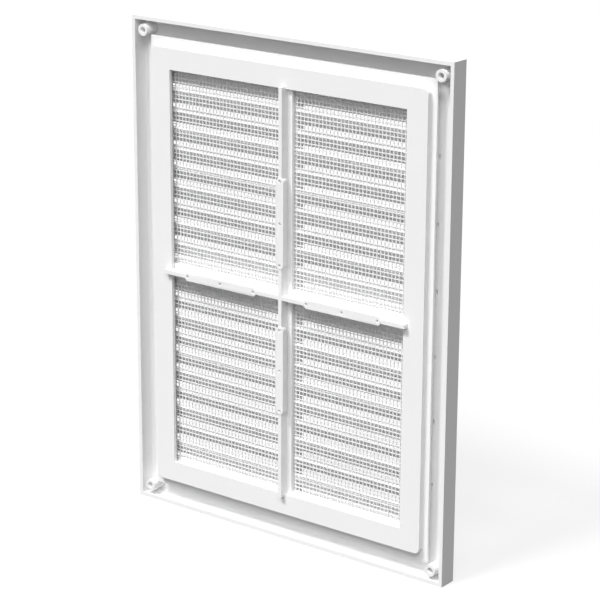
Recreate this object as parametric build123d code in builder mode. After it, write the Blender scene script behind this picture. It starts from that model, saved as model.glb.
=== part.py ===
from build123d import *
import os

os.makedirs("parts", exist_ok=True)

# Louvred wall vent with insect screen, seen from behind in the photograph. Sizes are in millimetres.
# The front faces -Y, and the rear edge of the rim lies in the plane Y = 0.
# Depths are measured from that plane towards the front, so Y = -depth.

# Tray of the grille body
width = 189.0
height = 252.0
body_depth = 9.7
rim_wall = 1.9
face_plate = 1.5
floor_fillet = 1.5

# Screw bosses
boss_inset = 5.0
boss_diameter = 5.8
boss_hole = 3.0

# Collar wall around the louvre field, which carries the screen frame, and the marks in the floor beside it
collar_depth = 3.4
collar_wall = 2.0
collar_seat = 0.9
mark_width = 1.4
mark_length = 2.6
mark_depth = 1.2
mark_gap = 1.6
mark_pitch = 31.9
mark_count = 6

# Louvre field
bar_width = 7.4
louvre_pitch = 9.66
louvre_top_gap = 0.45
blade_depth = 3.9
blade_front = 9.6
blade_edge = 2.0
blade_drop = 7.4
blade_root = 0.5

# Screen frame
flange_gap_x = 8.2
flange_gap_z = 7.3
flange_thickness = 1.0
panel_inset_x = 2.8
panel_inset_z = 4.5
panel_proud = 0.8
panel_corner = 3.0
skin = 1.8
frame_wall = 1.6
border_x = 11.4
border_z = 10.5

# Cross on the screen frame
strip_width = 7.0
strip_depth = 1.35
rib_wall = 2.0
rib_proud = 3.5
rib_lap_x = 2.6
rib_lap_z = 1.0
pad_width = 4.3
pad_length = 45.0
pad_proud = 3.8
pad_height = 3.0
pad_middle = 36.9
dot_pitch = 20.7
dot_diameter = 1.6
dot_depth = 1.5

# Insect mesh
mesh_gap = 0.4
mesh_bar = 1.2
mesh_columns = 10
mesh_rows = 12

# Places that follow from the sizes above
inner_width = width - 2 * rim_wall
inner_height = height - 2 * rim_wall
floor_depth = body_depth - face_plate
flange_width = inner_width - 2 * flange_gap_x
flange_height = inner_height - 2 * flange_gap_z
panel_width = flange_width - 2 * panel_inset_x
panel_height = flange_height - 2 * panel_inset_z
window_width = panel_width - 2 * border_x
window_height = panel_height - 2 * border_z
field_width = panel_width - 2 * (frame_wall + collar_wall - collar_seat)
field_height = window_height + 2 * (frame_wall - collar_seat)
collar_width = field_width + 2 * collar_wall
collar_height = field_height + 2 * collar_wall
boss_x = inner_width - 2 * boss_inset
boss_z = inner_height - 2 * boss_inset
blade_span = blade_edge + blade_drop
half_opening = (field_height - bar_width) / 2
louvre_count = int((half_opening - louvre_top_gap - blade_span) / louvre_pitch) + 1
blade_length = (field_width - bar_width) / 2 + 2 * blade_root


# A sketch plane at a depth, facing the front
def at_depth(depth):
    return Plane.XZ.offset(depth)


# Grille body: tray, collar wall, cross bars, louvre blades and bosses in one moulding
with BuildPart() as grille_body:
    with BuildSketch(at_depth(0)):
        Rectangle(width, height)
    extrude(amount=body_depth)
    with BuildSketch(at_depth(0)):
        Rectangle(inner_width, inner_height)
    extrude(amount=floor_depth, mode=Mode.SUBTRACT)
    floor_edges = grille_body.edges().group_by(Axis.Y)[1]
    fillet(floor_edges, floor_fillet)
    with BuildSketch(at_depth(floor_depth)):
        Rectangle(field_width, field_height)
    extrude(amount=face_plate, mode=Mode.SUBTRACT)

    with BuildSketch(at_depth(collar_depth)):
        Rectangle(collar_width, collar_height)
        Rectangle(field_width, field_height, mode=Mode.SUBTRACT)
    extrude(amount=body_depth - collar_depth)
    with BuildSketch(at_depth(blade_depth)):
        Rectangle(bar_width, field_height)
        Rectangle(field_width, bar_width)
    extrude(amount=body_depth - blade_depth)

    # Blades slope down towards the front and run into the collar and the upright bar
    for start in (-field_width / 2 - blade_root, bar_width / 2 - blade_root):
        with BuildSketch(Plane.YZ.offset(start)):
            for opening_top in (field_height / 2, -bar_width / 2):
                for number in range(louvre_count):
                    top = opening_top - louvre_top_gap - number * louvre_pitch
                    with BuildLine():
                        Polyline(
                            (-blade_depth, top),
                            (-blade_depth, top - blade_edge),
                            (-blade_front, top - blade_span),
                            (-blade_front, top - blade_drop),
                            close=True,
                        )
                    make_face()
        extrude(amount=blade_length)

    with BuildSketch(at_depth(0)):
        with GridLocations(boss_x, boss_z, 2, 2):
            Circle(boss_diameter / 2)
    extrude(amount=body_depth)
    with BuildSketch(at_depth(0)):
        with GridLocations(boss_x, boss_z, 2, 2):
            Circle(boss_hole / 2)
    extrude(amount=body_depth, mode=Mode.SUBTRACT)

    # Short upright marks in the floor along the collar's long sides
    with BuildSketch(at_depth(floor_depth)):
        with GridLocations(collar_width + 2 * mark_gap, mark_pitch, 2, mark_count):
            SlotOverall(mark_length, mark_width, rotation=90)
    extrude(amount=mark_depth, mode=Mode.SUBTRACT)
grille_body.part.label = "grille_body"
export_step(grille_body.part, "parts/grille_body.step")


# Screen frame: a thin flanged panel with a window and a cross of ribs, seated on the collar
with BuildPart() as screen_frame:
    with BuildSketch(at_depth(-panel_proud)):
        RectangleRounded(panel_width, panel_height, panel_corner)
        Rectangle(window_width, window_height, mode=Mode.SUBTRACT)
    extrude(amount=skin)
    with BuildSketch(at_depth(-panel_proud)):
        RectangleRounded(panel_width, panel_height, panel_corner)
        RectangleRounded(panel_width - 2 * frame_wall, panel_height - 2 * frame_wall,
                         panel_corner - frame_wall, mode=Mode.SUBTRACT)
    extrude(amount=collar_depth + panel_proud)
    with BuildSketch(at_depth(collar_depth - flange_thickness)):
        Rectangle(flange_width, flange_height)
        RectangleRounded(panel_width - 2 * frame_wall, panel_height - 2 * frame_wall,
                         panel_corner - frame_wall, mode=Mode.SUBTRACT)
    extrude(amount=flange_thickness)

    # Walls at the top and bottom of the window, and the ends of the cross strip under the side borders
    with BuildSketch(at_depth(-panel_proud + skin / 2)):
        with GridLocations(0, window_height + frame_wall, 1, 2):
            Rectangle(panel_width - frame_wall, frame_wall)
        with GridLocations(window_width + border_x, 0, 2, 1):
            Rectangle(border_x - frame_wall / 2, strip_width)
    extrude(amount=collar_depth + panel_proud - skin / 2)

    with BuildSketch(at_depth(strip_depth)):
        Rectangle(strip_width, window_height + frame_wall)
        Rectangle(window_width + 2 * frame_wall, strip_width)
    extrude(amount=collar_depth - strip_depth)
    with BuildSketch(at_depth(-rib_proud)):
        Rectangle(rib_wall, window_height + 2 * rib_lap_z)
        Rectangle(window_width + 2 * rib_lap_x, rib_wall)
    extrude(amount=rib_proud - panel_proud + skin / 2)
    with BuildSketch(at_depth(-rib_proud)):
        Rectangle(rib_wall, window_height)
        Rectangle(window_width, rib_wall)
    extrude(amount=rib_proud + strip_depth)

    # Wider pads on the ribs, each with three shallow dots
    with BuildSketch(at_depth(-pad_proud)):
        with PolarLocations(pad_middle, 4):
            SlotOverall(pad_length, pad_width)
    extrude(amount=pad_height)
    with BuildSketch(at_depth(-pad_proud)):
        with PolarLocations(pad_middle, 4):
            with GridLocations(dot_pitch, 0, 3, 1):
                Circle(dot_diameter / 2)
    extrude(amount=dot_depth, mode=Mode.SUBTRACT)
screen_frame.part.label = "screen_frame"
export_step(screen_frame.part, "parts/screen_frame.step")


# Insect mesh: one sheet inside the collar, lying on the blades and bars under the screen frame
mesh_width = field_width - 2 * mesh_gap
mesh_height = field_height - 2 * mesh_gap
mesh_step_x = (mesh_width - mesh_bar) / mesh_columns
mesh_step_z = (mesh_height - mesh_bar) / mesh_rows
with BuildPart() as insect_mesh:
    with BuildSketch(at_depth(collar_depth)):
        Rectangle(mesh_width, mesh_height)
        with GridLocations(mesh_step_x, mesh_step_z, mesh_columns, mesh_rows):
            Rectangle(mesh_step_x - mesh_bar, mesh_step_z - mesh_bar, mode=Mode.SUBTRACT)
    extrude(amount=blade_depth - collar_depth)
insect_mesh.part.label = "insect_mesh"
export_step(insect_mesh.part, "parts/insect_mesh.step")
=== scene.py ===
import bpy
import bmesh
import math
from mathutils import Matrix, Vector


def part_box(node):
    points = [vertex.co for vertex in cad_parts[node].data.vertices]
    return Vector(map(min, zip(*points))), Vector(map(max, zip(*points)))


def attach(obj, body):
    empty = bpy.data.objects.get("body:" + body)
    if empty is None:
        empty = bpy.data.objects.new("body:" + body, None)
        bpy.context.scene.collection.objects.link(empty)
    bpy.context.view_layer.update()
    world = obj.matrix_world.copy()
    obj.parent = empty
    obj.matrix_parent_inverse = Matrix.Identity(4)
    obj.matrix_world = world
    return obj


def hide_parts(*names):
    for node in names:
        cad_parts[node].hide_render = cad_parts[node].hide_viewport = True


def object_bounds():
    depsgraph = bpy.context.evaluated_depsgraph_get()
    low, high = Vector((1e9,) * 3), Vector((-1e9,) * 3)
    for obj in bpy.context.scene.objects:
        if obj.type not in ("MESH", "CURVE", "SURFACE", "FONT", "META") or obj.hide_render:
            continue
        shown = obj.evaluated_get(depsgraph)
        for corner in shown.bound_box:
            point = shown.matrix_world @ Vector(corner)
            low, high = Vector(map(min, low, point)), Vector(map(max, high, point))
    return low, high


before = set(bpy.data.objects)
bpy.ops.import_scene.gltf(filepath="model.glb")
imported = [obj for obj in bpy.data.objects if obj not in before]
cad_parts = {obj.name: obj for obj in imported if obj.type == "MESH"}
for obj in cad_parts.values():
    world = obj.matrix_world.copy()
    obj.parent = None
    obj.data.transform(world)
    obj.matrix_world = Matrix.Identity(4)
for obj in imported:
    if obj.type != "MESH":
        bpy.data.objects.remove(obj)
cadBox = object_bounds()
scene = bpy.context.scene
scene.view_settings.view_transform = "Standard"
print("frame loaded:", ", ".join(sorted(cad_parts)))


# small helpers

def link(tree, fromNode, fromName, toNode, toName):
    tree.links.new(fromNode.outputs[fromName], toNode.inputs[toName])


def meshObject(name, bm):
    mesh = bpy.data.meshes.new(name)
    bm.to_mesh(mesh)
    bm.free()
    obj = bpy.data.objects.new(name, mesh)
    scene.collection.objects.link(obj)
    return obj


# moulded plastic: one shared group, three finishes

mouldedNoise = {"cloudDetail": 2.0, "cloudRough": 0.45, "grainDetail": 3.0, "grainLow": 0.3, "grainHigh": 0.7}


def mouldedFaceGroup():
    tree = bpy.data.node_groups.new("mouldedFace", "ShaderNodeTree")
    face = tree.interface
    for name, kind in (("Base", "NodeSocketColor"), ("Shade", "NodeSocketColor"),
                       ("Cloud Scale", "NodeSocketFloat"), ("Grain Scale", "NodeSocketFloat"),
                       ("Rough Low", "NodeSocketFloat"), ("Rough High", "NodeSocketFloat")):
        face.new_socket(name=name, in_out="INPUT", socket_type=kind)
    for name, kind in (("Color", "NodeSocketColor"), ("Roughness", "NodeSocketFloat"),
                       ("Height", "NodeSocketFloat")):
        face.new_socket(name=name, in_out="OUTPUT", socket_type=kind)
    nodes = tree.nodes
    groupIn = nodes.new("NodeGroupInput")
    groupOut = nodes.new("NodeGroupOutput")
    place = nodes.new("ShaderNodeTexCoord")
    cloud = nodes.new("ShaderNodeTexNoise")        # slow change of tone from the melt's flow
    cloud.inputs["Detail"].default_value = mouldedNoise["cloudDetail"]
    cloud.inputs["Roughness"].default_value = mouldedNoise["cloudRough"]
    link(tree, place, "Object", cloud, "Vector")
    link(tree, groupIn, "Cloud Scale", cloud, "Scale")
    tone = nodes.new("ShaderNodeMix")
    tone.data_type = "RGBA"
    tree.links.new(cloud.outputs["Fac"], tone.inputs["Factor"])
    tree.links.new(groupIn.outputs["Shade"], tone.inputs["A"])
    tree.links.new(groupIn.outputs["Base"], tone.inputs["B"])
    tree.links.new(tone.outputs["Result"], groupOut.inputs["Color"])
    grain = nodes.new("ShaderNodeTexNoise")        # eroded texture of the mould
    grain.inputs["Detail"].default_value = mouldedNoise["grainDetail"]
    link(tree, place, "Object", grain, "Vector")
    link(tree, groupIn, "Grain Scale", grain, "Scale")
    link(tree, grain, "Fac", groupOut, "Height")
    rough = nodes.new("ShaderNodeMapRange")
    rough.inputs["From Min"].default_value = mouldedNoise["grainLow"]
    rough.inputs["From Max"].default_value = mouldedNoise["grainHigh"]
    link(tree, grain, "Fac", rough, "Value")
    link(tree, groupIn, "Rough Low", rough, "To Min")
    link(tree, groupIn, "Rough High", rough, "To Max")
    link(tree, rough, "Result", groupOut, "Roughness")
    return tree


mouldedFace = mouldedFaceGroup()


def plastic(name, look):
    mat = bpy.data.materials.new(name)
    mat.use_nodes = True
    tree = mat.node_tree
    shader = tree.nodes["Principled BSDF"]
    shader.inputs["IOR"].default_value = look["ior"]
    group = tree.nodes.new("ShaderNodeGroup")
    group.node_tree = mouldedFace
    group.inputs["Base"].default_value = look["base"] + (1.0,)
    group.inputs["Shade"].default_value = look["shade"] + (1.0,)
    group.inputs["Cloud Scale"].default_value = look["cloudScale"]
    group.inputs["Grain Scale"].default_value = look["grainScale"]
    group.inputs["Rough Low"].default_value = look["rough"][0]
    group.inputs["Rough High"].default_value = look["rough"][1]
    bump = tree.nodes.new("ShaderNodeBump")
    bump.inputs["Strength"].default_value = look["bump"]
    bump.inputs["Distance"].default_value = look["bumpDepth"]
    link(tree, group, "Color", shader, "Base Color")
    link(tree, group, "Roughness", shader, "Roughness")
    link(tree, group, "Height", bump, "Height")
    link(tree, bump, "Normal", shader, "Normal")
    return mat


# the two mouldings, with the small edge radii a mould leaves

shading = {"corner": math.radians(40), "step": math.radians(3), "flatWidth": 0.0009}
softening = {"weld": 1e-6, "flat": math.radians(0.5), "corner": math.radians(35), "steps": 2, "round": 0.5}
grilleBody = {
    "node": "grille_body", "slot": "body_plastic", "edge": 0.00022,
    "look": {"base": (0.885, 0.885, 0.885), "shade": (0.865, 0.865, 0.865),
             "cloudScale": 22.0, "grainScale": 2600.0,
             "rough": (0.38, 0.5), "bump": 0.25, "bumpDepth": 0.00004, "ior": 1.46},
}
screenFrame = {
    "node": "screen_frame", "slot": "frame_plastic", "edge": 0.00022,
    "look": {"base": (0.89, 0.89, 0.89), "shade": (0.87, 0.87, 0.87),
             "cloudScale": 28.0, "grainScale": 3200.0,
             "rough": (0.34, 0.46), "bump": 0.2, "bumpDepth": 0.00003, "ior": 1.46},
}


def hardEdges(bm):
    # flat faces stay flat, and only narrow strips of curved ones are shaded as one
    for edge in bm.edges:
        edge.smooth = True
        if not edge.is_manifold:
            continue
        turn = edge.calc_face_angle()
        wide = max(2 * f.calc_area() / f.calc_perimeter() for f in edge.link_faces)
        if turn > shading["corner"] or (turn > shading["step"] and wide > shading["flatWidth"]):
            edge.smooth = False
    for f in bm.faces:
        f.smooth = True


def moulding(name, spec):
    bm = bmesh.new()
    bm.from_mesh(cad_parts[spec["node"]].data)
    bmesh.ops.remove_doubles(bm, verts=bm.verts, dist=softening["weld"])
    bmesh.ops.dissolve_limit(bm, angle_limit=softening["flat"], verts=bm.verts, edges=bm.edges)
    outer = [e for e in bm.edges if e.is_manifold and e.calc_face_angle_signed() > softening["corner"]]
    bmesh.ops.bevel(bm, geom=outer, offset=spec["edge"], offset_type="OFFSET", segments=softening["steps"],
                    profile=softening["round"], affect="EDGES", clamp_overlap=True)
    hardEdges(bm)
    obj = meshObject(name, bm)
    obj.data.materials.append(plastic(name + "Plastic", spec["look"]))
    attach(obj, "root")
    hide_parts(spec["node"])
    print(name, "made with", len(outer), "softened edges")


moulding("grilleBody", grilleBody)
moulding("screenFrame", screenFrame)


# insect mesh: one moulded sheet with small square holes

insectMesh = {
    "node": "insect_mesh", "slot": "mesh_plastic", "bar": 0.0004,
    "pitch": (0.002137, 0.002101), "hole": (0.000583, -0.000407),      # along X and Z; one hole's middle
    "look": {"base": (0.885, 0.885, 0.885), "shade": (0.865, 0.865, 0.865),
             "cloudScale": 60.0, "grainScale": 5200.0,
             "rough": (0.4, 0.55), "bump": 0.2, "bumpDepth": 0.00002, "ior": 1.46},
}


def holeMiddles(low, high, pitch, hole):
    # a hole has at least half a cell of sheet around its middle
    first = math.ceil((low + pitch / 2 - hole) / pitch)
    last = math.floor((high - pitch / 2 - hole) / pitch)
    return [hole + pitch * n for n in range(first, last + 1)]


def cellBorders(low, high, middles):
    return [low] + [(a + b) / 2 for a, b in zip(middles, middles[1:])] + [high]


def band(bm, ringA, ringB):
    for n in range(4):
        m = (n + 1) % 4
        bm.faces.new((ringA[n], ringA[m], ringB[m], ringB[n]))


def latticeMesh(low, high):
    bar, pitch, hole = insectMesh["bar"], insectMesh["pitch"], insectMesh["hole"]
    middlesX = holeMiddles(low.x, high.x, pitch[0], hole[0])
    middlesZ = holeMiddles(low.z, high.z, pitch[1], hole[1])
    xs, zs = cellBorders(low.x, high.x, middlesX), cellBorders(low.z, high.z, middlesZ)
    halfX, halfZ = (pitch[0] - bar) / 2, (pitch[1] - bar) / 2
    turns = ((1, -1), (1, 1), (-1, 1), (-1, -1))
    bm = bmesh.new()
    front = [[bm.verts.new((x, low.y, z)) for z in zs] for x in xs]
    rear = [[bm.verts.new((x, high.y, z)) for z in zs] for x in xs]
    for i, x in enumerate(middlesX):
        for j, z in enumerate(middlesZ):
            rings = [[bm.verts.new((x + sx * halfX, y, z + sz * halfZ)) for sx, sz in turns]
                     for y in (low.y, high.y)]
            band(bm, rings[0], rings[1])
            for side, ring in ((front, rings[0]), (rear, rings[1])):
                band(bm, (side[i + 1][j], side[i + 1][j + 1], side[i][j + 1], side[i][j]), ring)
    columns, rows = len(middlesX), len(middlesZ)
    border = [(i, 0) for i in range(columns)] + [(columns, j) for j in range(rows)]
    border += [(i, rows) for i in range(columns, 0, -1)] + [(0, j) for j in range(rows, 0, -1)]
    for (i, j), (k, m) in zip(border, border[1:] + border[:1]):
        bm.faces.new((front[i][j], front[k][m], rear[k][m], rear[i][j]))
    bmesh.ops.recalc_face_normals(bm, faces=bm.faces)
    print("insectMesh has", columns, "by", rows, "holes")
    return bm


meshPiece = meshObject("insectMesh", latticeMesh(*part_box(insectMesh["node"])))
meshPiece.data.materials.append(plastic("meshPlastic", insectMesh["look"]))
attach(meshPiece, "root")
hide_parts(insectMesh["node"])


# floor, light and camera

studio = {
    "floorSize": 8.0, "floorTone": 0.1, "floorSeen": 0.9, "floorWhite": 0.8, "around": 0.09,
    "lamps": (      # share of a white level, softness, height and turn to the picture's left in degrees
        ("keyLamp", 0.82, 12, 56, 15),
        ("fillLamp", 0.46, 30, 46, -32),
        ("rearLamp", 0.18, 40, 22, -15),
        ("frontLamp", 0.36, 60, 5, 145),
    ),
}


def whiteRays(tree):
    # 1 for what the camera sees, straight, mirrored or through
    path = tree.nodes.new("ShaderNodeLightPath")
    both = tree.nodes.new("ShaderNodeMath")
    both.operation = "MAXIMUM"
    tree.links.new(path.outputs["Is Camera Ray"], both.inputs[0])
    tree.links.new(path.outputs["Is Glossy Ray"], both.inputs[1])
    all3 = tree.nodes.new("ShaderNodeMath")
    all3.operation = "MAXIMUM"
    tree.links.new(both.outputs[0], all3.inputs[0])
    tree.links.new(path.outputs["Is Transmission Ray"], all3.inputs[1])
    return all3


def floorPlane():
    bm = bmesh.new()
    bmesh.ops.create_grid(bm, x_segments=1, y_segments=1, size=studio["floorSize"] / 2)
    floor = meshObject("studioFloor", bm)
    floor.location.z = cadBox[0].z
    mat = bpy.data.materials.new("studioFloorWhite")
    mat.use_nodes = True
    tree = mat.node_tree
    tree.nodes.clear()
    out = tree.nodes.new("ShaderNodeOutputMaterial")
    matt = tree.nodes.new("ShaderNodeBsdfDiffuse")
    seen = whiteRays(tree)
    tone = tree.nodes.new("ShaderNodeMix")
    tone.data_type = "RGBA"
    tone.inputs["A"].default_value = (studio["floorTone"],) * 3 + (1,)
    tone.inputs["B"].default_value = (studio["floorSeen"],) * 3 + (1,)
    tree.links.new(seen.outputs[0], tone.inputs["Factor"])
    tree.links.new(tone.outputs["Result"], matt.inputs["Color"])
    glow = tree.nodes.new("ShaderNodeEmission")
    glow.inputs["Strength"].default_value = 1.0
    share = tree.nodes.new("ShaderNodeMath")
    share.operation = "MULTIPLY"
    share.inputs[1].default_value = studio["floorWhite"]
    tree.links.new(seen.outputs[0], share.inputs[0])
    mix = tree.nodes.new("ShaderNodeMixShader")
    tree.links.new(share.outputs[0], mix.inputs[0])
    tree.links.new(matt.outputs[0], mix.inputs[1])
    tree.links.new(glow.outputs[0], mix.inputs[2])
    tree.links.new(mix.outputs[0], out.inputs["Surface"])
    floor.data.materials.append(mat)


def lamp(name, share, soft, height, left):
    # a sun of strength pi lights a white face that meets it squarely to 1
    data = bpy.data.lights.new(name, "SUN")
    data.energy = math.pi * share
    data.angle = math.radians(soft)
    obj = bpy.data.objects.new(name, data)
    scene.collection.objects.link(obj)
    up, side = math.radians(height), math.radians(left)
    source = Vector((math.sin(side) * math.cos(up), math.cos(side) * math.cos(up), math.sin(up)))
    obj.rotation_mode = "QUATERNION"
    obj.rotation_quaternion = source.to_track_quat("Z", "Y")


def worldLight():
    # a little even light on the vent, and white where the camera looks past it
    world = bpy.data.worlds.new("studioWorld")
    world.use_nodes = True
    scene.world = world
    tree = world.node_tree
    sky = tree.nodes["Background"]
    sky.inputs["Color"].default_value = (1, 1, 1, 1)
    shown = tree.nodes.new("ShaderNodeMix")
    shown.inputs["A"].default_value = studio["around"]
    shown.inputs["B"].default_value = 1.0
    tree.links.new(whiteRays(tree).outputs[0], shown.inputs["Factor"])
    tree.links.new(shown.outputs["Result"], sky.inputs["Strength"])


photoView = {
    "place": (-0.64027, 0.824873, 0.324716),      # metres
    "turn": (72.6388, -0.2377, -142.5227),        # degrees
    "lens": 136.584, "sensor": 36.0, "near": 0.05, "far": 50,
}


def photoCamera():
    data = bpy.data.cameras.new("photoCamera")
    data.lens = photoView["lens"]
    data.sensor_width = photoView["sensor"]
    data.clip_start = photoView["near"]
    data.clip_end = photoView["far"]
    cam = bpy.data.objects.new("photoCamera", data)
    scene.collection.objects.link(cam)
    cam.location = photoView["place"]
    cam.rotation_euler = [math.radians(a) for a in photoView["turn"]]
    scene.camera = cam


floorPlane()
worldLight()
for spec in studio["lamps"]:
    lamp(*spec)
photoCamera()
print("studio set")
